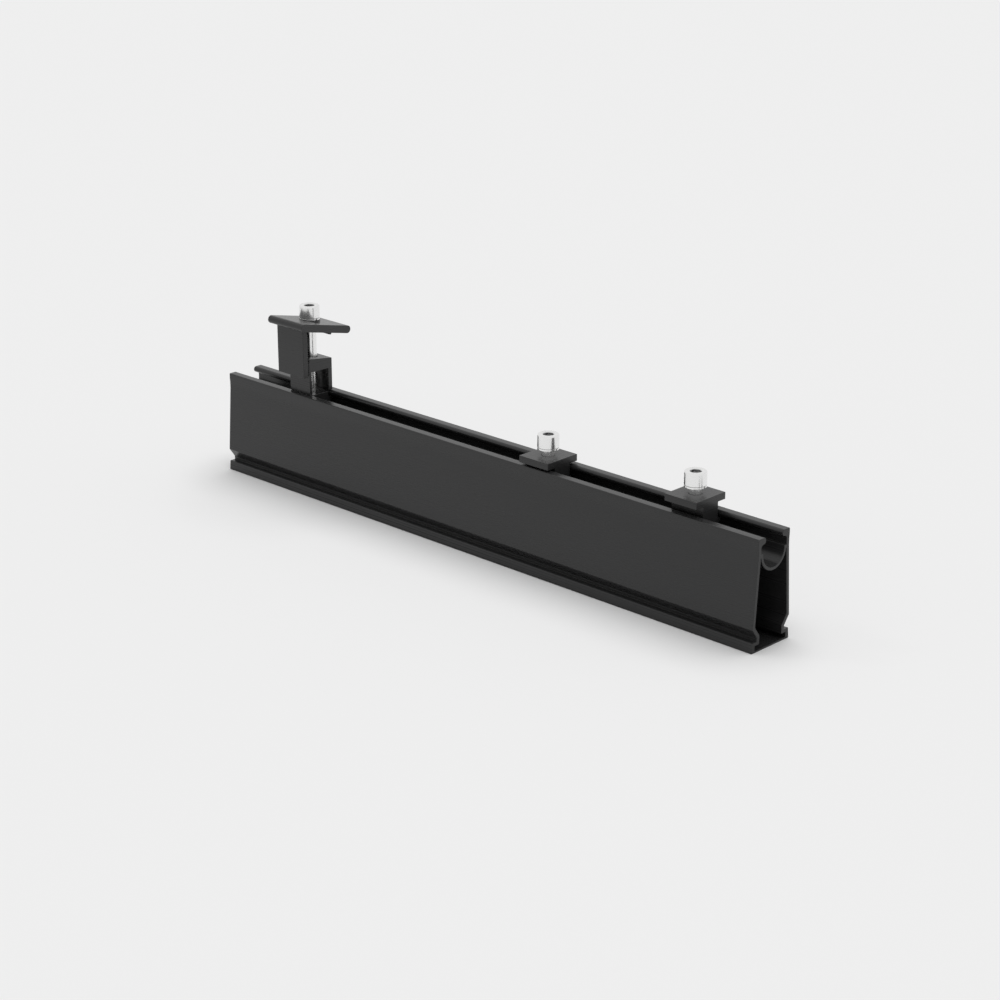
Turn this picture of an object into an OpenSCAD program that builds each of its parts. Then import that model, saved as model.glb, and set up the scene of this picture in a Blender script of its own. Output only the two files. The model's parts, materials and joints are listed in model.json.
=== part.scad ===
// Short roof rail with a clamp and two slot anchors that carry an inverter.
// The rail lies along X. The origin is the centre of the foot's underside, and +Z is up.

/* [Rail] */
// Length of the rail
rail_len = 440; // [320:5:1200]
// Height of the rail
rail_h = 66.1; // [56:0.1:90]
// Width across the proud edges at the top of the rail
brow_w = 27.4; // [27.2:0.1:34]
// Height of the proud edges at the top of the rail
brow_h = 3.6; // [2:0.1:5]
// Height of the slope under the proud edges
brow_slope = 2; // [1:0.1:4]
// Width across the walls just under the proud edges
waist_w = 27; // [26.6:0.1:27.4]
// Width across the walls where they end above the foot
skirt_w = 32.6; // [30:0.1:36]
// Thickness of the side walls
wall_t = 2.3; // [1.8:0.1:2.6]
// Width across the foot
foot_w = 33; // [30:0.1:40]
// Height of the foot
foot_h = 6.2; // [5.6:0.1:8]
// Thickness of the foot above its cavity
foot_t = 2; // [1.6:0.1:2.2]
// How far the foot's side leans in towards its top
foot_lean = 0.5; // [0:0.1:1]
// Thickness of the plate that closes the underside
base_t = 1; // [0.8:0.1:2.2]
// Depth of the groove above the foot, from the skirt
groove_d = 4.2; // [3:0.1:6]
// Height of the groove's upright face
groove_h = 2.2; // [1.6:0.1:5]
// Height of the slant between the groove and the skirt
slant_h = 5.8; // [4:0.1:8]
// Width of the slot between the two lips
slot_w = 14.4; // [13:0.1:15.4]
// Thickness of the lips at their noses
lip_t = 3.8; // [2.4:0.1:4]
// Radius of the hollow under each lip
lip_fillet = 2; // [1.6:0.1:2.4]
// Width inside the round channel
channel_w = 18.6; // [17.6:0.1:19.4]
// Depth of the channel's centre line below the top
channel_drop = 10; // [9:0.1:10.8]
// Height of the straight channel side above its centre line
ledge_rise = 0.75; // [0.4:0.05:1.2]
// Thickness of the ledges that carry the channel
ledge_t = 1.95; // [1.6:0.05:2.6]
// Thickness of the channel's round wall
web_t = 1.7; // [1.4:0.1:2.4]

/* [Screws and washers] */
// Diameter of the screws' shanks
screw_d = 8; // [6:0.5:8]
// Diameter of the screws' heads
head_d = 13; // [12:0.1:13.4]
// Height of the screws' heads
head_h = 8; // [5:0.5:10]
// Chamfer round the top of the screws' heads
head_edge = 0.5; // [0.2:0.1:1]
// Chamfer at the screws' tips
tip_edge = 0.9; // [0.5:0.1:1.5]
// Size across the flats of the socket in each head
socket_af = 6; // [4:0.5:7]
// Depth of the socket in each head
socket_deep = 4; // [2:0.5:4.5]
// Diameter of the lock washers
washer_d = 12.9; // [12:0.1:13.4]
// Thickness of the lock washers
washer_t = 1.3; // [0.8:0.1:2]
// Width of the split in each lock washer
split_w = 0.8; // [0.4:0.1:1.5]
// Lean of the split from upright, in degrees
split_lean = 20; // [0:1:30]

/* [Clamp] */
// Distance from the rail's left end to the clamp's screw
clamp_from_end = 65.5; // [30:0.5:100]
// Length of the jaw plate along the rail
plate_x = 32.2; // [29:0.1:45]
// Reach of the jaw plate in front of the screw
plate_front = 20.4; // [18:0.1:24]
// Reach of the jaw plate behind the screw
plate_back = 20.8; // [12:0.1:30]
// Thickness of the jaw plate
plate_t = 5; // [3:0.1:6]
// Slope of the jaw plate down towards the back, in degrees
plate_slope = 12.5; // [4:0.5:14]
// Width of the flat pad round the seat of the clamp's screw, outside the washer
pad_margin = 0.3; // [0.1:0.1:1]
// Depth of that seat under the high side of the plate
seat_sink = 0.6; // [0:0.1:1.2]
// Distance from the screw to the low rib under the plate
grip_rib_y = 3.2; // [1:0.1:12]
// Width of the low rib under the plate
grip_rib_w = 2; // [1:0.1:4]
// Height of the low rib under the plate
grip_rib_h = 1; // [0.4:0.1:2]
// Length of the jaw's upright wall along the rail
wall_x = 24.4; // [20:0.1:27]
// Offset of the jaw's wall from the screw, along the rail
wall_shift = -1.7; // [-3:0.1:3]
// Thickness of the jaw's upright wall
jaw_wall_t = 3.4; // [2:0.1:4.5]
// Height of the jaw wall's lower edge above the rail
jaw_wall_z = 12.8; // [8:0.1:16]
// Radius of the corner between the jaw's plate and its wall
jaw_corner = 2; // [1:0.1:3]
// Free height between the block and the jaw, at the screw
grip = 18.3; // [12:0.1:24]
// Length of the block along the rail
block_x = 18.8; // [16:0.1:26]
// Width of the block across the rail
block_y = 19.2; // [17:0.1:21]
// Height of the block at the screw
block_h = 22.5; // [20:0.1:28]
// Slope of the block's top down towards the back, in degrees
block_slope = 8; // [2:0.5:12]
// Thickness of the block's top bar at the screw
block_bar = 7.8; // [5:0.1:9]
// Thickness of the block's front leg
front_leg_t = 1.8; // [1.4:0.1:3]
// Thickness of the block's back leg
back_leg_t = 3.2; // [2:0.1:3.6]
// Pitch of the ribs between the jaw and the block
rib_pitch = 1.5; // [1.2:0.1:2.5]
// Depth of the ribs between the jaw and the block
rib_d = 1.1; // [0.5:0.05:1.3]
// Length of the clamp's screw under its head
clamp_screw_len = 60; // [58:0.5:62]
// Length of the slot nut along the rail
nut_x = 18; // [14:0.5:24]
// Depth of the slot nut's neck below the rail's top
nut_sink = 0.6; // [0.2:0.1:1.5]

/* [Anchors] */
// Distance from the rail's right end to the nearer anchor
anchor_from_end = 56; // [30:0.5:80]
// Distance between the two anchors
anchor_pitch = 111; // [60:0.5:115]
// Length of the anchors along the rail
anchor_x = 22.8; // [18:0.1:30]
// Width of the anchors' flanges across the rail
flange_w = 25.4; // [20:0.1:30]
// Thickness of the anchors' flanges
flange_t = 4.2; // [3:0.1:6]
// Height of the anchors' necks between flange and shoe
neck_h = 9.4; // [8.8:0.1:12]
// Height of the shoes under the lips
shoe_h = 5.8; // [5:0.1:7]
// Height of the straight side of a shoe above its round keel
shoe_side = 1.7; // [1:0.1:2.4]
// Free height under the anchor screws' washers
anchor_gap = 3.7; // [1:0.1:6]
// Length of the anchors' screws under their heads
anchor_screw_len = 20; // [18:0.5:22]

/* [Clearances] */
// Gap between pieces that rest on or slide along each other
seat_gap = 0.2; // [0.15:0.05:0.4]
// Gap between an anchor's neck and each lip
neck_gap = 0.7; // [0.3:0.1:1.2]
// Radial clearance of a screw in its thread
thread_gap = 0.05; // [0.02:0.01:0.1]
// Radial clearance of a screw in a plain hole
hole_gap = 0.5; // [0.2:0.1:0.8]
// Gap under a screw head, so that it turns on its washer
turn_gap = 0.05; // [0.02:0.01:0.1]

/* [Hidden] */
$fn = 64;

black = "#2b2b2b";
steel = "#d8d8d6";

// How far a cut runs past the solid it goes through
past = 1;
// Chamfers on the rail's outer edges, and on the top edges of its foot
edge = 0.4;
foot_edge = 0.2;

// Rail, half widths and heights
wall_in = waist_w / 2 - wall_t;
channel_r = channel_w / 2;
channel_z = rail_h - channel_drop;
ledge_z = channel_z + ledge_rise;
groove_y = skirt_w / 2 - groove_d;
groove_z = foot_h + groove_h;
skirt_z = groove_z + slant_h;
nose_r = lip_t / 2;
lip_centre_y = wall_in - lip_fillet;
lip_centre_z = rail_h - lip_t - lip_fillet;
// Rise of the hollow's corners inside the slant, so that the wall keeps its thickness
knee = wall_t * 0.4;

// Shoe that runs in the channel, under the lips
shoe_r = channel_r - seat_gap;
neck_w = slot_w - 2 * neck_gap;
lip_under = lip_centre_z + sqrt(pow(lip_fillet, 2) - pow(shoe_r - lip_centre_y, 2));
shoe_top_high = lip_under - seat_gap;
shoe_top_low = channel_z + shoe_side;

// Heights of the flanges' undersides: the first anchor lies in the channel, and the second
// is drawn up against the lips
anchor_1_z = shoe_top_low + neck_h;
anchor_2_z = shoe_top_high + neck_h;
anchor_2_x = rail_len / 2 - anchor_from_end;
anchor_1_x = anchor_2_x - anchor_pitch;

// Clamp
clamp_cx = clamp_from_end - rail_len / 2;
block_top = rail_h + seat_gap + block_h;
plate_rise = plate_t / cos(plate_slope);
jaw_top = block_top + grip + plate_rise;
block_front = -block_y / 2;
rib_tip_gap = seat_gap;
jaw_wall_in = block_front - 2 * rib_d - rib_tip_gap;
jaw_wall_out = jaw_wall_in - jaw_wall_t;
pad_r = washer_d / 2 + pad_margin;
pad_z = jaw_top + pad_r * tan(plate_slope) - seat_sink;
slot_nut_top = rail_h - nut_sink;
hole_r = screw_d / 2 + hole_gap;
washer_hole_r = screw_d / 2 + hole_gap / 2;
thread_r = screw_d / 2 + thread_gap;

// Turns a profile drawn in Y and Z into a bar of length len, centred on X
module bar(len) {
    translate([-len / 2, 0, 0]) rotate([90, 0, 90]) linear_extrude(len) children();
}

// Both halves of a profile that is drawn for positive Y
module both_sides() {
    children();
    mirror([1, 0]) children();
}

// Rectangle between two corners
module span(low, high) {
    translate(low) square(high - low);
}

// Outer outline of one half of the rail
module rail_outline() {
    polygon([
        [0, 0],
        [foot_w / 2 - edge, 0],
        [foot_w / 2, edge],
        [foot_w / 2 - foot_lean, foot_h - foot_edge],
        [foot_w / 2 - foot_lean - foot_edge, foot_h],
        [groove_y, foot_h],
        [groove_y, groove_z],
        [skirt_w / 2, skirt_z],
        [waist_w / 2, channel_z],
        [waist_w / 2, rail_h - brow_h - brow_slope],
        [brow_w / 2, rail_h - brow_h],
        [brow_w / 2, rail_h - edge],
        [brow_w / 2 - edge, rail_h],
        [0, rail_h],
    ]);
}

// Closed hollow under the channel, one half
module rail_hollow() {
    difference() {
        polygon([
            [0, base_t],
            [foot_w / 2 - foot_lean - wall_t, base_t],
            [foot_w / 2 - foot_lean - wall_t, foot_h - foot_t],
            [groove_y - wall_t, foot_h - foot_t],
            [groove_y - wall_t, groove_z + knee],
            [skirt_w / 2 - wall_t, skirt_z + knee],
            [wall_in, ledge_z - ledge_t],
            [0, ledge_z - ledge_t],
        ]);
        translate([0, channel_z]) circle(channel_r + web_t);
    }
}

// Open channel at the top, one half: slot, hollow under the lip and round bed
module rail_channel() {
    difference() {
        span([0, lip_centre_z], [slot_w / 2 + nose_r, rail_h + past]);
        translate([slot_w / 2 + nose_r, rail_h - nose_r]) circle(nose_r);
    }
    span([0, ledge_z], [wall_in, lip_centre_z]);
    span([0, ledge_z], [lip_centre_y, rail_h - lip_t]);
    intersection() {
        translate([lip_centre_y, lip_centre_z]) circle(lip_fillet);
        span([0, ledge_z], [wall_in + past, rail_h - lip_t + past]);
    }
    span([0, channel_z], [channel_r, ledge_z]);
    intersection() {
        translate([0, channel_z]) circle(channel_r);
        span([0, 0], [channel_r, channel_z]);
    }
}

module rail() {
    color(black) bar(rail_len) both_sides() difference() {
        rail_outline();
        rail_hollow();
        rail_channel();
    }
}

// Neck and round-bottomed shoe, with the shoe's top at height zero
module shoe_outline(neck) {
    both_sides() {
        span([0, -shoe_side], [neck_w / 2, neck]);
        span([0, -shoe_side], [shoe_r, 0]);
        intersection() {
            translate([0, -shoe_side]) circle(shoe_r);
            span([0, -shoe_h], [shoe_r, -shoe_side]);
        }
    }
}

// Block of an anchor: flange, neck and shoe in one piece, with a threaded hole
module anchor_block(x, z) {
    color(black) translate([x, 0, z]) difference() {
        bar(anchor_x) {
            translate([0, -neck_h]) shoe_outline(neck_h + flange_t / 2);
            span([-flange_w / 2, 0], [flange_w / 2, flange_t]);
        }
        translate([0, 0, -neck_h - shoe_h - past])
            cylinder(r = thread_r, h = neck_h + shoe_h + flange_t + 2 * past);
    }
}

// Socket-head cap screw with the underside of its head at height zero
module cap_screw(len) {
    color(steel) difference() {
        rotate_extrude() polygon([
            [0, -len],
            [screw_d / 2 - tip_edge, -len],
            [screw_d / 2, -len + tip_edge],
            [screw_d / 2, 0],
            [head_d / 2 - head_edge / 2, 0],
            [head_d / 2, head_edge / 2],
            [head_d / 2, head_h - head_edge],
            [head_d / 2 - head_edge, head_h],
            [0, head_h],
        ]);
        translate([0, 0, head_h - socket_deep])
            cylinder(d = socket_af / cos(30), h = socket_deep + past, $fn = 6);
    }
}

// Split lock washer with its underside at height zero
module lock_washer() {
    color(steel) difference() {
        cylinder(d = washer_d, h = washer_t);
        translate([0, 0, -past]) cylinder(r = washer_hole_r, h = washer_t + 2 * past);
        translate([washer_d / 4, 0, washer_t / 2]) rotate([split_lean, 0, 0])
            cube([washer_d / 2, split_w, 3 * washer_t], center = true);
    }
}

// Row of triangular ribs that point along +Y, from height low to height high
module ribs(low, high) {
    for (z = [low : rib_pitch : high - rib_pitch])
        polygon([[0, z], [rib_d, z + rib_pitch / 2], [0, z + rib_pitch]]);
}

// Section of the jaw's sloping plate, with round ends and a low rib underneath
module plate_outline() {
    nose = plate_t / 2;
    low = -plate_front / cos(plate_slope) + nose;
    high = plate_back / cos(plate_slope) - nose;
    translate([0, jaw_top]) rotate(-plate_slope) {
        span([low, -plate_t], [high, 0]);
        translate([low, -nose]) circle(nose);
        translate([high, -nose]) circle(nose);
        span([grip_rib_y, -plate_t - grip_rib_h], [grip_rib_y + grip_rib_w, -nose]);
    }
}

// Section of the jaw's wall, with ribs towards the block and a round inner corner under the plate
module jaw_wall_outline() {
    plate_middle = jaw_top - plate_rise / 2 - jaw_wall_in * tan(plate_slope);
    corner_z = plate_middle - plate_rise / 2 - jaw_corner;
    span([jaw_wall_out, rail_h + jaw_wall_z], [jaw_wall_in, plate_middle]);
    translate([jaw_wall_in, 0]) ribs(rail_h + jaw_wall_z, corner_z);
    difference() {
        span([jaw_wall_in, corner_z], [jaw_wall_in + jaw_corner, plate_middle]);
        translate([jaw_wall_in + jaw_corner, corner_z]) circle(jaw_corner);
    }
}

// Upper jaw: sloping plate, ribbed wall in front and a flat seat under the screw
module clamp_jaw() {
    plate_middle = jaw_top - plate_rise / 2;
    color(black) translate([clamp_cx, 0, 0]) difference() {
        union() {
            bar(plate_x) plate_outline();
            translate([wall_shift, 0, 0]) bar(wall_x) jaw_wall_outline();
            translate([0, 0, plate_middle]) cylinder(r = pad_r, h = pad_z - plate_middle);
        }
        translate([0, 0, pad_z]) cylinder(r = pad_r, h = plate_t);
        translate([0, 0, block_top]) cylinder(r = hole_r, h = pad_z - block_top + past);
    }
}

// Lower block: an upside-down U that stands on the lips
module clamp_block() {
    fall = tan(block_slope);
    window_top = block_top - block_bar;
    rib_low = rail_h + jaw_wall_z;
    color(black) translate([clamp_cx, 0, 0]) difference() {
        bar(block_x) {
            difference() {
                polygon([
                    [-block_y / 2, rail_h + seat_gap],
                    [block_y / 2, rail_h + seat_gap],
                    [block_y / 2, block_top - fall * block_y / 2],
                    [-block_y / 2, block_top + fall * block_y / 2],
                ]);
                span([-block_y / 2 + front_leg_t, rail_h], [block_y / 2 - back_leg_t, window_top]);
            }
            translate([block_front, 0]) mirror([1, 0]) ribs(rib_low, block_top);
        }
        translate([0, 0, window_top - past]) cylinder(r = hole_r, h = block_bar + 3 * past);
    }
}

// Nut in the channel that the clamp's screw pulls up against the lips
module clamp_slot_nut() {
    color(black) translate([clamp_cx, 0, 0]) difference() {
        translate([0, 0, shoe_top_high]) bar(nut_x) shoe_outline(slot_nut_top - shoe_top_high);
        translate([0, 0, shoe_top_high - shoe_h - past])
            cylinder(r = thread_r, h = rail_h - shoe_top_high + shoe_h + 2 * past);
    }
}

module clamp_washer() {
    translate([clamp_cx, 0, pad_z]) lock_washer();
}

module clamp_screw() {
    translate([clamp_cx, 0, pad_z + washer_t + turn_gap]) cap_screw(clamp_screw_len);
}

module anchor_washer(x, z) {
    translate([x, 0, z + flange_t + anchor_gap]) lock_washer();
}

module anchor_screw(x, z) {
    translate([x, 0, z + flange_t + anchor_gap + washer_t + turn_gap]) cap_screw(anchor_screw_len);
}

rail();
clamp_jaw();
clamp_block();
clamp_slot_nut();
clamp_screw();
clamp_washer();
anchor_block(anchor_1_x, anchor_1_z);  // anchor_block_1
anchor_screw(anchor_1_x, anchor_1_z);  // anchor_screw_1
anchor_washer(anchor_1_x, anchor_1_z);  // anchor_washer_1
anchor_block(anchor_2_x, anchor_2_z);  // anchor_block_2
anchor_screw(anchor_2_x, anchor_2_z);  // anchor_screw_2
anchor_washer(anchor_2_x, anchor_2_z);  // anchor_washer_2
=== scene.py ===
"""Studio scene of a short black roof rail with a clamp and two slot anchors that carry an inverter.

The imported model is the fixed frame. Each sub-assembly here is a class that dresses or rebuilds its
own pieces on that frame. All lengths are in metres.
"""

import json
import logging
import math
from dataclasses import dataclass
from enum import Enum
from typing import TypeAlias

import bmesh
import bpy
from mathutils import Matrix, Vector

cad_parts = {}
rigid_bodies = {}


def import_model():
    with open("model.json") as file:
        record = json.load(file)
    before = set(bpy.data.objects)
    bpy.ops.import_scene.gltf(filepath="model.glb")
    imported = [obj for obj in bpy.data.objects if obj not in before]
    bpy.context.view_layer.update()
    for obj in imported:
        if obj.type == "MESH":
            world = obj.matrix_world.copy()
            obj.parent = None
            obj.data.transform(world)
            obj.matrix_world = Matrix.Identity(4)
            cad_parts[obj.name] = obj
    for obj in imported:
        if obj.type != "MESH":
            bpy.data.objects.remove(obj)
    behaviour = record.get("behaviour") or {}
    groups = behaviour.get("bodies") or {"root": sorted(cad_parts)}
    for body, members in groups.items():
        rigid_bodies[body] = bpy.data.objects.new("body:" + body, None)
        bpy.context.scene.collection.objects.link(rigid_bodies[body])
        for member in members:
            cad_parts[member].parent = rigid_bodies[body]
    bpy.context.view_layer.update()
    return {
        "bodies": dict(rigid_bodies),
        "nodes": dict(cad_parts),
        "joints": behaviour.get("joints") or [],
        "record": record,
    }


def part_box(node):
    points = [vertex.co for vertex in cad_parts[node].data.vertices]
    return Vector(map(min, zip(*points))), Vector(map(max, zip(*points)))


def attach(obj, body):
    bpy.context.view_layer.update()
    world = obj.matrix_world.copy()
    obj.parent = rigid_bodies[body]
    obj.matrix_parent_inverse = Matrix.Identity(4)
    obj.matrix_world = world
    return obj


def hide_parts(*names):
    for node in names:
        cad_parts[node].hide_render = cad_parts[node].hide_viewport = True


LOG = logging.getLogger("bracket")
MM = 0.001
ON_CIRCLE = 0.001 * MM

Number: TypeAlias = "Value | float"
Triple: TypeAlias = tuple[float, float, float]
Colour: TypeAlias = tuple[float, float, float]


class Slot(Enum):
    """The record's material slots."""

    BLACK = "black_anodised"
    STEEL = "stainless_steel"


class Value:
    """A number that a shader node gives, written in plain arithmetic."""

    def __init__(self, graph: "Graph", socket: bpy.types.NodeSocket) -> None:
        """Keeps the socket and the graph that it belongs to."""
        self.graph = graph
        self.socket = socket

    def __add__(self, other: Number) -> "Value":
        """Sum."""
        return self.graph.math("ADD", self, other)

    def __radd__(self, other: Number) -> "Value":
        """Sum with a number on the left."""
        return self.graph.math("ADD", other, self)

    def __sub__(self, other: Number) -> "Value":
        """Difference."""
        return self.graph.math("SUBTRACT", self, other)

    def __rsub__(self, other: Number) -> "Value":
        """Difference with a number on the left."""
        return self.graph.math("SUBTRACT", other, self)

    def __mul__(self, other: Number) -> "Value":
        """Product."""
        return self.graph.math("MULTIPLY", self, other)

    def __rmul__(self, other: Number) -> "Value":
        """Product with a number on the left."""
        return self.graph.math("MULTIPLY", other, self)

    def __pow__(self, other: Number) -> "Value":
        """Power."""
        return self.graph.math("POWER", self, other)

    def __gt__(self, other: Number) -> "Value":
        """One where this is above the other, else zero."""
        return self.graph.math("GREATER_THAN", self, other)

    def __lt__(self, other: Number) -> "Value":
        """One where this is below the other, else zero."""
        return self.graph.math("LESS_THAN", self, other)

    def __abs__(self) -> "Value":
        """Size without its sign."""
        return self.graph.math("ABSOLUTE", self)


class Graph:
    """The node tree of one material, with a Principled shader at its end."""

    def __init__(self, name: str) -> None:
        """Makes the material and its two closing nodes.

        Args:
            name: The material's name.
        """
        self.material = bpy.data.materials.new(name)
        self.material.use_nodes = True
        self.tree = self.material.node_tree
        self.tree.nodes.clear()
        self.shader = self.node("ShaderNodeBsdfPrincipled")
        self.node("ShaderNodeOutputMaterial", inputs={"Surface": self.shader.outputs["BSDF"]})

    def node(
        self, kind: str, settings: dict | None = None, inputs: dict | None = None,
    ) -> bpy.types.Node:
        """Adds a node.

        Args:
            kind: The node's type.
            settings: What is set on the node itself, such as an operation, or a ramp's stops.
            inputs: Numbers, colours, Values or sockets for its inputs, by name or index.

        Returns:
            The new node.
        """
        made = self.tree.nodes.new(kind)
        for key, value in (settings or {}).items():
            setattr(made, key, value)
        for key, value in (inputs or {}).items():
            self.feed(made.inputs[key], value)
        return made

    def feed(self, socket: bpy.types.NodeSocket, value: object) -> None:
        """Links a Value or a socket into an input, or sets a plain number or colour on it."""
        if isinstance(value, Value):
            value = value.socket
        if isinstance(value, bpy.types.NodeSocket):
            self.tree.links.new(value, socket)
        elif isinstance(value, tuple) and socket.type == "RGBA":
            socket.default_value = (*value, 1.0)
        else:
            socket.default_value = value

    def math(self, operation: str, *values: Number) -> Value:
        """Adds a Math node and returns what it gives."""
        made = self.node("ShaderNodeMath", {"operation": operation}, dict(enumerate(values)))
        return Value(self, made.outputs[0])

    def mix(
        self, share: Value, low: Colour | bpy.types.NodeSocket, high: Colour,
    ) -> bpy.types.NodeSocket:
        """Mixes two colours.

        Args:
            share: Zero for the first colour and one for the second.
            low: The first colour, or the socket that gives it.
            high: The second colour.

        Returns:
            The mixed colour's socket.
        """
        made = self.node(
            "ShaderNodeMix",
            {"data_type": "RGBA", "clamp_factor": True},
            {0: share, 6: low, 7: high},
        )
        return made.outputs[2]

    def coordinates(
        self, centre: Vector, scale: Triple = (1.0, 1.0, 1.0),
    ) -> bpy.types.NodeSocket:
        """Object coordinates, counted from a centre and then scaled along each axis."""
        place = self.node("ShaderNodeTexCoord").outputs["Object"]
        shifted = self.node(
            "ShaderNodeVectorMath", {"operation": "SUBTRACT"}, {0: place, 1: centre},
        )
        scaled = self.node(
            "ShaderNodeVectorMath", {"operation": "MULTIPLY"}, {0: shifted.outputs[0], 1: scale},
        )
        return scaled.outputs[0]

    def parts(self, vector: bpy.types.NodeSocket) -> tuple[Value, Value, Value]:
        """The three numbers of a vector."""
        split = self.node("ShaderNodeSeparateXYZ", inputs={0: vector})
        return tuple(Value(self, out) for out in split.outputs)

    def noise(self, vector: bpy.types.NodeSocket, scale: float, detail: float) -> Value:
        """Smooth noise from zero to one over a vector."""
        made = self.node(
            "ShaderNodeTexNoise", inputs={"Vector": vector, "Scale": scale, "Detail": detail},
        )
        return Value(self, made.outputs["Fac"])

    def relief(self, height: Value, depth: float, strength: float) -> None:
        """Feeds a height to the shader's normal.

        Args:
            height: The relief, from zero to one.
            depth: Its real depth.
            strength: Its share, from zero to one.
        """
        bump = self.node(
            "ShaderNodeBump", inputs={"Height": height, "Distance": depth, "Strength": strength},
        )
        self.feed(self.shader.inputs["Normal"], bump.outputs["Normal"])

    def constants(self, **numbers: float) -> None:
        """Sets numbers on the shader's own sockets; an underscore stands for a space."""
        for key, value in numbers.items():
            self.shader.inputs[key.replace("_", " ")].default_value = value


@dataclass(frozen=True)
class BlackAnodised:
    """Satin black anodised aluminium, drawn through a die along X and sawn across."""

    name: str
    dark: Colour = (0.0185, 0.0185, 0.0188)
    light: Colour = (0.0235, 0.0235, 0.0239)
    # Colour of the faces that face along X, the sawn ends. On the rail it is set darker than the
    # sides, which is painted shade on its ends.
    cut: Colour = (0.0360, 0.0360, 0.0365)
    roughness: float = 0.28
    roughness_spread: float = 0.07
    line_width: float = 0.9 * MM
    line_length: float = 300 * MM
    saw_width: float = 0.5 * MM
    saw_radius: float = 120 * MM
    line_detail: float = 3.0
    cloud_scale: float = 28.0
    cloud_share: float = 0.5
    grain_scale: float = 3500.0
    grain_detail: float = 1.0
    grain_share: float = 0.3
    end_facing: float = 0.9
    relief_depth: float = 0.008 * MM
    relief_strength: float = 0.5
    refraction: float = 1.42

    def build(self) -> bpy.types.Material:
        """Makes the material.

        Returns:
            The finished material.
        """
        graph = Graph(self.name)
        along, across = 1 / self.line_length, 1 / self.line_width
        lines = graph.coordinates(Vector(), (along, across, across))
        drawn = graph.noise(lines, 1.0, self.line_detail)
        cloud = graph.noise(graph.coordinates(Vector()), self.cloud_scale, self.line_detail)
        grain = graph.noise(graph.coordinates(Vector()), self.grain_scale, self.grain_detail)
        sawn = self.saw_marks(graph)
        normal_x, _, _ = graph.parts(graph.node("ShaderNodeNewGeometry").outputs["Normal"])
        end = abs(normal_x) > self.end_facing
        share = self.cloud_share * cloud + (1 - self.cloud_share) * drawn
        body = graph.mix(share, self.dark, self.light)
        # The end faces take the cut colour; on the rail this darker colour is painted shade.
        graph.feed(graph.shader.inputs["Base Color"], graph.mix(end, body, self.cut))
        mark = drawn * (1 - end) + sawn * end
        rough = self.roughness + self.roughness_spread * (mark - 0.5)
        graph.feed(graph.shader.inputs["Roughness"], rough)
        height = (1 - self.grain_share) * mark + self.grain_share * grain
        graph.relief(height, self.relief_depth, self.relief_strength)
        graph.constants(Metallic=0.0, IOR=self.refraction)
        return graph.material

    def saw_marks(self, graph: Graph) -> Value:
        """Wide arcs that a saw blade leaves on a cut end.

        Args:
            graph: The graph to add them to.

        Returns:
            Their height from zero to one.
        """
        _, y, z = graph.parts(graph.coordinates(Vector((0, 0, -self.saw_radius))))
        radius = (y * y + z * z) ** 0.5
        rings = graph.node("ShaderNodeCombineXYZ", inputs={0: radius * (1 / self.saw_width)})
        return graph.noise(rings.outputs[0], 1.0, self.line_detail)


@dataclass(frozen=True)
class BrightSteel:
    """Bright stainless steel, turned on its own axis, with painted shade inside its hex socket."""

    dark: Colour = (0.80, 0.80, 0.795)
    light: Colour = (0.92, 0.92, 0.915)
    # Darker colour inside the hex socket: painted shade in the recess.
    socket: Colour = (0.62, 0.62, 0.62)
    socket_radius: float = 3.5 * MM
    socket_floor: float = 1 * MM
    roughness: float = 0.22
    roughness_spread: float = 0.08
    ring_width: float = 0.12 * MM
    ring_detail: float = 2.0
    cloud_scale: float = 240.0
    cloud_detail: float = 3.0
    cloud_share: float = 0.5
    relief_depth: float = 0.006 * MM
    relief_strength: float = 0.4

    def build(self, name: str, axis: Vector) -> bpy.types.Material:
        """Makes the material of one turned piece.

        Args:
            name: The material's name.
            axis: A point on the axis that the piece was turned about.

        Returns:
            The finished material.
        """
        graph = Graph(name)
        x, y, z = graph.parts(graph.coordinates(axis))
        radius = (x * x + y * y) ** 0.5
        step = 1 / self.ring_width
        rings = graph.node("ShaderNodeCombineXYZ", inputs={0: radius * step, 2: z * step})
        turned = graph.noise(rings.outputs[0], 1.0, self.ring_detail)
        cloud = graph.noise(graph.coordinates(axis), self.cloud_scale, self.cloud_detail)
        share = (1 - self.cloud_share) * turned + self.cloud_share * cloud
        bright = graph.mix(share, self.dark, self.light)
        # Painted shade: the socket's walls and floor take the darker socket colour.
        socket_shade_mask = (radius < self.socket_radius) * (z > self.socket_floor)
        graph.feed(graph.shader.inputs["Base Color"], graph.mix(socket_shade_mask, bright, self.socket))
        rough = self.roughness + self.roughness_spread * (share - 0.5)
        graph.feed(graph.shader.inputs["Roughness"], rough)
        graph.relief(turned, self.relief_depth, self.relief_strength)
        graph.constants(Metallic=1.0)
        return graph.material


def ring_edges(bm: bmesh.types.BMesh, radius: float, height: float) -> list[bmesh.types.BMEdge]:
    """The edges of a circle about the Z axis.

    Args:
        bm: The mesh.
        radius: The circle's radius.
        height: The circle's height.

    Returns:
        Its edges.
    """
    def on_ring(vert: bmesh.types.BMVert) -> bool:
        """True if the vertex lies on the circle."""
        return abs(vert.co.z - height) < ON_CIRCLE and abs(vert.co.xy.length - radius) < ON_CIRCLE

    return [edge for edge in bm.edges if all(on_ring(vert) for vert in edge.verts)]


def round_edges(
    bm: bmesh.types.BMesh, edges: list[bmesh.types.BMEdge], width: float, segments: int,
) -> None:
    """Rounds edges with a bevel of the given width."""
    bmesh.ops.bevel(
        bm, geom=edges, offset=width, offset_type="OFFSET", affect="EDGES",
        segments=segments, profile=0.5, material=-1,
    )


def sharp_edges(bm: bmesh.types.BMesh, angle: float) -> list[bmesh.types.BMEdge]:
    """The edges whose two faces turn by more than an angle."""
    folds = [edge for edge in bm.edges if len(edge.link_faces) == 2]
    return [edge for edge in folds if edge.calc_face_angle() > angle]


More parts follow.
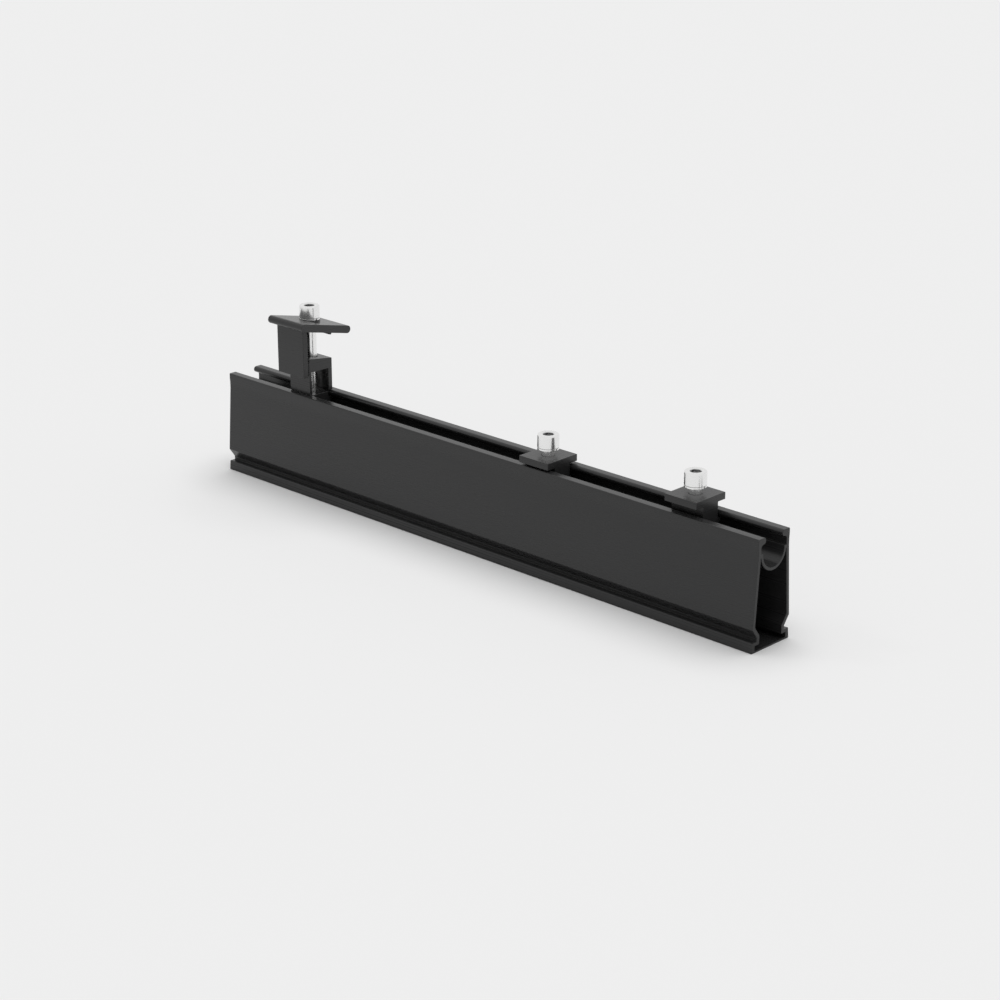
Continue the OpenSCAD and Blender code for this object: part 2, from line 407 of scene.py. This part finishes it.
def made_object(
    bm: bmesh.types.BMesh, name: str, smooth_angle: float = math.radians(40),
) -> bpy.types.Object:
    """Turns a bmesh into an object with smooth shading up to an angle.

    Args:
        bm: The mesh, which is freed.
        name: The object's name.
        smooth_angle: Edges that turn by more than this stay sharp.

    Returns:
        The new object, at the origin.
    """
    mesh = bpy.data.meshes.new(name)
    bm.to_mesh(mesh)
    bm.free()
    mesh.shade_smooth()
    mesh.set_sharp_from_angle(angle=smooth_angle)
    made = bpy.data.objects.new(name, mesh)
    bpy.context.scene.collection.objects.link(made)
    weighted = made.modifiers.new("flat_faces_stay_flat", "WEIGHTED_NORMAL")
    weighted.keep_sharp = True
    return made


def dress(
    piece: bpy.types.Object, material: bpy.types.Material, body: str, node: str,
) -> None:
    """Gives a piece its finish and its place among the frame's bodies.

    Args:
        piece: The finished piece.
        material: Its material.
        body: The body that it rides on.
        node: The frame's node that it stands for.
    """
    piece.data.materials.clear()
    piece.data.materials.append(material)
    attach(piece, body)
    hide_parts(node)
    LOG.info("%s: %d faces, rides on %s", piece.name, len(piece.data.polygons), body)


@dataclass
class DrawnPart:
    """A piece cut from a drawn aluminium profile, with its sharp edges broken."""

    name: str
    node: str
    body: str
    edge_width: float = 0.25 * MM
    edge_segments: int = 3
    smallest_step: float = 0.01 * MM
    sharp_angle: float = math.radians(25)
    flat_angle: float = math.radians(0.5)

    def build(self, frame: dict, material: bpy.types.Material) -> bpy.types.Object:
        """Copies the frame's node, merges it and rounds its edges.

        Args:
            material: The drawn aluminium's material.

        Returns:
            The dressed piece.
        """
        bm = bmesh.new()
        bm.from_mesh(frame["nodes"][self.node].data)
        bmesh.ops.remove_doubles(bm, verts=bm.verts, dist=self.smallest_step)
        bmesh.ops.dissolve_limit(
            bm, angle_limit=self.flat_angle, use_dissolve_boundaries=False,
            verts=bm.verts, edges=bm.edges,
        )
        round_edges(bm, sharp_edges(bm, self.sharp_angle), self.edge_width, self.edge_segments)
        piece = made_object(bm, self.name)
        dress(piece, material, self.body, self.node)
        return piece


@dataclass
class CapScrew:
    """A socket-head cap screw, turned about its own axis, with a true helical thread.

    The thread's flats are shares of its pitch, as on a metric thread.
    """

    name: str
    node: str
    body: str
    thread_len: float
    head_d: float = 13 * MM
    head_h: float = 8 * MM
    shank_d: float = 8 * MM
    pitch: float = 1.25 * MM
    thread_depth: float = 0.62 * MM
    root_flat: float = 0.25
    crest_flat: float = 0.125
    tip_chamfer: float = 0.9 * MM
    socket_af: float = 6 * MM
    socket_deep: float = 4 * MM
    socket_mouth: float = 0.5 * MM
    socket_cone: float = 0.9 * MM
    top_round: float = 0.8 * MM
    top_segments: int = 5
    foot_round: float = 0.25 * MM
    foot_segments: int = 3
    merge_distance: float = 0.003 * MM
    steps: int = 96
    thread_steps: int = 48

    def build(self, finish: BrightSteel) -> bpy.types.Object:
        """Makes the screw where its node stands.

        Args:
            finish: The steel's finish.

        Returns:
            The dressed piece.
        """
        low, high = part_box(self.node)
        axis = Vector(((low.x + high.x) / 2, (low.y + high.y) / 2, high.z - self.head_h))
        length = high.z - self.head_h - low.z
        bm = self.head_and_shank(length - self.thread_len)
        self.socket(bm)
        self.thread(bm, length)
        bmesh.ops.recalc_face_normals(bm, faces=bm.faces)
        bmesh.ops.translate(bm, verts=bm.verts, vec=axis)
        piece = made_object(bm, self.name)
        dress(piece, finish.build(self.name + "_steel", axis), self.body, self.node)
        return piece

    def head_and_shank(self, plain: float) -> bmesh.types.BMesh:
        """Turns the outside of the head and the plain part of the shank.

        Args:
            plain: Length of the shank above its thread.

        Returns:
            A new mesh, open at the socket's mouth and at the thread.
        """
        mouth = self.mouth_radius()
        corners = [
            (mouth, self.head_h), (self.head_d / 2, self.head_h), (self.head_d / 2, 0.0),
            (self.shank_d / 2, 0.0), (self.shank_d / 2, -plain),
        ]
        bm = bmesh.new()
        verts = [bm.verts.new((r, 0, z)) for r, z in corners]
        edges = [bm.edges.new(pair) for pair in zip(verts, verts[1:])]
        bmesh.ops.spin(
            bm, geom=verts + edges, cent=(0, 0, 0), axis=(0, 0, 1), angle=2 * math.pi,
            steps=self.steps, use_merge=True,
        )
        top = ring_edges(bm, self.head_d / 2, self.head_h)
        round_edges(bm, top, self.top_round, self.top_segments)
        for radius in (self.head_d / 2, self.shank_d / 2):
            round_edges(bm, ring_edges(bm, radius, 0.0), self.foot_round, self.foot_segments)
        return bm

    def mouth_radius(self) -> float:
        """Radius of the socket's chamfered mouth."""
        return self.socket_af / math.sqrt(3) + self.socket_mouth

    def hexagon(self, bm: bmesh.types.BMesh, height: float) -> list[bmesh.types.BMEdge]:
        """Adds the socket's hexagon, each side cut into as many edges as the head has above it.

        Args:
            bm: The mesh.
            height: The hexagon's height.

        Returns:
            Its edges.
        """
        made = bmesh.ops.create_circle(
            bm, cap_ends=False, segments=6, radius=self.socket_af / math.sqrt(3),
            matrix=Matrix.Translation((0, 0, height)),
        )
        sides = list({edge for vert in made["verts"] for edge in vert.link_edges})
        cut = bmesh.ops.subdivide_edges(bm, edges=sides, cuts=self.steps // 6 - 1)
        return [item for item in cut["geom"] if isinstance(item, bmesh.types.BMEdge)]

    def socket(self, bm: bmesh.types.BMesh) -> None:
        """Sinks the hexagonal socket into the head, with a chamfered mouth and a drilled bottom."""
        rim = ring_edges(bm, self.mouth_radius(), self.head_h)
        hexagon = self.hexagon(bm, self.head_h - self.socket_mouth)
        bmesh.ops.bridge_loops(bm, edges=rim + hexagon)
        down = bmesh.ops.extrude_edge_only(bm, edges=hexagon)["geom"]
        verts = [item for item in down if isinstance(item, bmesh.types.BMVert)]
        bmesh.ops.translate(bm, verts=verts, vec=(0, 0, self.socket_mouth - self.socket_deep))
        floor = [item for item in down if isinstance(item, bmesh.types.BMEdge)
                 and all(vert in verts for vert in item.verts)]
        cone = bmesh.ops.extrude_edge_only(bm, edges=floor)["geom"]
        tip = [item for item in cone if isinstance(item, bmesh.types.BMVert)]
        bottom = self.head_h - self.socket_deep - self.socket_cone
        bmesh.ops.pointmerge(bm, verts=tip, merge_co=(0, 0, bottom))

    def thread(self, bm: bmesh.types.BMesh, length: float) -> None:
        """Adds the trimmed and tapered thread to the shank, and closes both.

        Args:
            bm: The screw's mesh, open at the thread's start.
            length: Length of the screw under its head.
        """
        top = -length + self.thread_len
        wound = self.wind(-length - self.pitch)
        for height, direction in ((-length, -1), (top, 1)):
            bmesh.ops.bisect_plane(
                wound, geom=wound.verts[:] + wound.edges[:] + wound.faces[:],
                plane_co=(0, 0, height), plane_no=(0, 0, direction), clear_outer=True,
            )
        bmesh.ops.remove_doubles(wound, verts=wound.verts, dist=self.merge_distance)
        self.taper(wound, -length, top)
        open_edges = [edge for edge in wound.edges if edge.is_boundary]
        bmesh.ops.holes_fill(wound, edges=open_edges, sides=0)
        mesh = bpy.data.meshes.new("thread")
        wound.to_mesh(mesh)
        wound.free()
        shank_end = ring_edges(bm, self.shank_d / 2, top)
        bmesh.ops.edgeloop_fill(bm, edges=shank_end)
        bm.from_mesh(mesh)
        bpy.data.meshes.remove(mesh)

    def wind(self, start: float) -> bmesh.types.BMesh:
        """Winds the thread's profile, with a spare turn at each end.

        Args:
            start: Height at which the first turn begins.

        Returns:
            A new mesh, open at both ends.
        """
        crest, root = self.shank_d / 2, self.shank_d / 2 - self.thread_depth
        root_half, crest_half = self.root_flat / 2, self.crest_flat / 2
        profile = [
            (root, 0.0), (root, root_half), (crest, 0.5 - crest_half),
            (crest, 0.5 + crest_half), (root, 1 - root_half), (root, 1.0),
        ]
        turns = math.ceil(self.thread_len / self.pitch) + 2
        wound = bmesh.new()
        verts = [wound.verts.new((r, 0, start + share * self.pitch)) for r, share in profile]
        edges = [wound.edges.new(pair) for pair in zip(verts, verts[1:])]
        bmesh.ops.spin(
            wound, geom=verts + edges, cent=(0, 0, 0), axis=(0, 0, 1), angle=2 * math.pi * turns,
            dvec=(0, 0, self.pitch / self.thread_steps), steps=self.thread_steps * turns,
        )
        bmesh.ops.remove_doubles(wound, verts=wound.verts, dist=self.merge_distance)
        return wound

    def taper(self, wound: bmesh.types.BMesh, low: float, top: float) -> None:
        """Chamfers the thread's tip and runs it out into the plain shank.

        Args:
            wound: The trimmed thread.
            low: Height of the tip.
            top: Height of the thread's other end.
        """
        crest = self.shank_d / 2
        for vert in wound.verts:
            radius = vert.co.xy.length
            limit = crest - self.tip_chamfer + (vert.co.z - low)
            run_out = min(1.0, max(0.0, 1 - (top - vert.co.z) / self.pitch))
            wanted = min(radius + (crest - radius) * run_out, limit)
            vert.co.xy *= wanted / radius


@dataclass
class LockWasher:
    """A split spring washer, rolled from square wire."""

    name: str
    node: str
    body: str
    hole_d: float = 8.5 * MM
    split: float = 0.8 * MM
    spring_rise: float = 0.12 * MM
    edge_width: float = 0.15 * MM
    edge_segments: int = 3
    sharp_angle: float = math.radians(60)
    steps: int = 72

    def build(self, finish: BrightSteel) -> bpy.types.Object:
        """Makes the washer where its node stands.

        Args:
            finish: The steel's finish.

        Returns:
            The dressed piece.
        """
        low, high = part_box(self.node)
        axis = Vector(((low.x + high.x) / 2, (low.y + high.y) / 2, low.z))
        outer = (high.y - low.y) / 2
        inner = self.hole_d / 2
        thick = high.z - low.z - self.spring_rise
        bm = bmesh.new()
        middle = Matrix.Translation(((inner + outer) / 2, 0, thick / 2))
        upright = Matrix.Rotation(math.pi / 2, 4, "X")
        section = Matrix.Diagonal(((outer - inner) / 2, thick / 2, 1, 1))
        bmesh.ops.create_grid(
            bm, x_segments=1, y_segments=1, size=1.0, matrix=middle @ upright @ section,
        )
        gap = self.split / outer
        half_gap = Matrix.Rotation(gap / 2, 3, "Z")
        bmesh.ops.rotate(bm, verts=bm.verts, cent=(0, 0, 0), matrix=half_gap)
        bmesh.ops.spin(
            bm, geom=bm.verts[:] + bm.edges[:] + bm.faces[:], cent=(0, 0, 0), axis=(0, 0, 1),
            angle=2 * math.pi - gap, steps=self.steps, dvec=(0, 0, self.spring_rise / self.steps),
        )
        bmesh.ops.recalc_face_normals(bm, faces=bm.faces)
        round_edges(bm, sharp_edges(bm, self.sharp_angle), self.edge_width, self.edge_segments)
        bmesh.ops.translate(bm, verts=bm.verts, vec=axis)
        piece = made_object(bm, self.name)
        dress(piece, finish.build(self.name + "_steel", axis), self.body, self.node)
        return piece


@dataclass
class Studio:
    """Pale floor, soft light and the photograph's camera.

    Angles are in degrees, the camera's lens and sensor are in millimetres.
    """

    camera_place: Triple = (0.9434, -0.9650, 0.5240)
    camera_yaw: float = 43.93
    camera_pitch: float = 20.12
    camera_reach: float = 100.0
    lens: float = 85.35
    sensor: float = 36.0
    backdrop: Colour = (0.855, 0.855, 0.855)
    floor_size: float = 40.0
    ambient: float = 0.25
    ceiling_strength: float = 2.33
    ceiling_width: float = 64.0
    ceiling_from: Triple = (0.0, 0.10, 1.0)
    key_strength: float = 0.08
    key_width: float = 9.0
    key_from: Triple = (-0.914, -0.565, 1.0)

    def build(self) -> None:
        """Makes the floor, the lights and the camera."""
        self.world()
        self.floor()
        self.lamp("soft_ceiling", self.ceiling_strength, self.ceiling_width, self.ceiling_from)
        self.lamp("soft_key", self.key_strength, self.key_width, self.key_from)
        self.camera()

    def world(self) -> None:
        """Pale to the camera and in reflections, and an even soft light elsewhere."""
        world = bpy.data.worlds.new("pale_room")
        bpy.context.scene.world = world
        world.use_nodes = True
        tree = world.node_tree
        tree.nodes.clear()
        rays = tree.nodes.new("ShaderNodeLightPath").outputs
        seen = rays["Is Camera Ray"]
        for name in ("Is Glossy Ray", "Is Transmission Ray"):
            either = tree.nodes.new("ShaderNodeMath")
            either.operation = "MAXIMUM"
            tree.links.new(seen, either.inputs[0])
            tree.links.new(rays[name], either.inputs[1])
            seen = either.outputs[0]
        shown = tree.nodes.new("ShaderNodeBackground")
        shown.inputs["Color"].default_value = (*self.backdrop, 1)
        light = tree.nodes.new("ShaderNodeBackground")
        light.inputs["Color"].default_value = (1, 1, 1, 1)
        light.inputs["Strength"].default_value = self.ambient
        mixed = tree.nodes.new("ShaderNodeMixShader")
        out = tree.nodes.new("ShaderNodeOutputWorld")
        tree.links.new(seen, mixed.inputs[0])
        tree.links.new(light.outputs[0], mixed.inputs[1])
        tree.links.new(shown.outputs[0], mixed.inputs[2])
        tree.links.new(mixed.outputs[0], out.inputs[0])

    def floor(self) -> None:
        """A wide matt floor under the rail's foot."""
        graph = Graph("pale_floor")
        graph.shader.inputs["Base Color"].default_value = (*self.backdrop, 1)
        graph.constants(Roughness=1.0, Specular_IOR_Level=0.0)
        bm = bmesh.new()
        bmesh.ops.create_grid(bm, x_segments=1, y_segments=1, size=self.floor_size / 2)
        mesh = bpy.data.meshes.new("floor")
        bm.to_mesh(mesh)
        bm.free()
        mesh.materials.append(graph.material)
        made = bpy.data.objects.new("floor", mesh)
        bpy.context.scene.collection.objects.link(made)

    def lamp(self, name: str, strength: float, width: float, direction: Triple) -> None:
        """Adds a far, soft light.

        Args:
            name: The lamp's name.
            strength: Its strength.
            width: How wide it looks from the object, in degrees.
            direction: The direction that it shines from.
        """
        data = bpy.data.lights.new(name, "SUN")
        data.energy = strength
        data.angle = math.radians(width)
        made = bpy.data.objects.new(name, data)
        made.visible_glossy = False
        made.rotation_euler = (-Vector(direction)).to_track_quat("-Z", "Y").to_euler()
        bpy.context.scene.collection.objects.link(made)

    def camera(self) -> None:
        """The camera at the photograph's place, height and lens."""
        data = bpy.data.cameras.new("photo_camera")
        data.sensor_width = self.sensor
        data.lens = self.lens
        data.clip_end = self.camera_reach
        made = bpy.data.objects.new("photo_camera", data)
        made.location = self.camera_place
        pitch, yaw = math.radians(90 - self.camera_pitch), math.radians(self.camera_yaw)
        made.rotation_euler = (pitch, 0.0, yaw)
        bpy.context.scene.collection.objects.link(made)
        bpy.context.scene.camera = made


@dataclass
class Bracket:
    """The whole bracket: the rail, the clamp and the two anchors."""

    # The rail's cut colour is darker than its sides: painted shade on its end faces.
    rail_finish: BlackAnodised = BlackAnodised("black_anodised_rail", cut=(0.0110, 0.0110, 0.0112))
    small_finish: BlackAnodised = BlackAnodised("black_anodised_small_parts")
    steel: BrightSteel = BrightSteel()
    clamp_thread: float = 28 * MM
    anchor_thread: float = 14 * MM

    def build(self, frame: dict) -> None:
        """Builds every piece in order.
        """
        DrawnPart("rail_profile", "rail", "rail").build(frame, self.rail_finish.build())
        black = self.small_finish.build()
        drawn = [
            DrawnPart("clamp_upper_jaw", "clamp_jaw", "clamp_jaw"),
            DrawnPart("clamp_lower_block", "clamp_block", "clamp_base"),
            DrawnPart("clamp_channel_nut", "clamp_slot_nut", "clamp_base"),
            DrawnPart("anchor_slot_block_1", "anchor_block_1", "anchor_1"),
            DrawnPart("anchor_slot_block_2", "anchor_block_2", "anchor_2"),
        ]
        for part in drawn:
            part.build(frame, black)
        clamp_screw = CapScrew("clamp_cap_screw", "clamp_screw", "clamp_screw", self.clamp_thread)
        clamp_screw.build(self.steel)
        LockWasher("clamp_lock_washer", "clamp_washer", "clamp_jaw").build(self.steel)
        for number in (1, 2):
            screw, washer = f"anchor_screw_{number}", f"anchor_washer_{number}"
            anchor_screw = CapScrew(f"anchor_cap_screw_{number}", screw, screw, self.anchor_thread)
            anchor_screw.build(self.steel)
            LockWasher(f"anchor_lock_washer_{number}", washer, washer).build(self.steel)


def main() -> None:
    """Loads the frame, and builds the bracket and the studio."""
    logging.basicConfig(level=logging.INFO, format="%(message)s")
    for leftover in list(bpy.data.objects):
        bpy.data.objects.remove(leftover)
    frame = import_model()
    Bracket().build(frame)
    Studio().build()
    bpy.context.scene.view_settings.view_transform = "Standard"


if __name__ == "__main__":
    main()
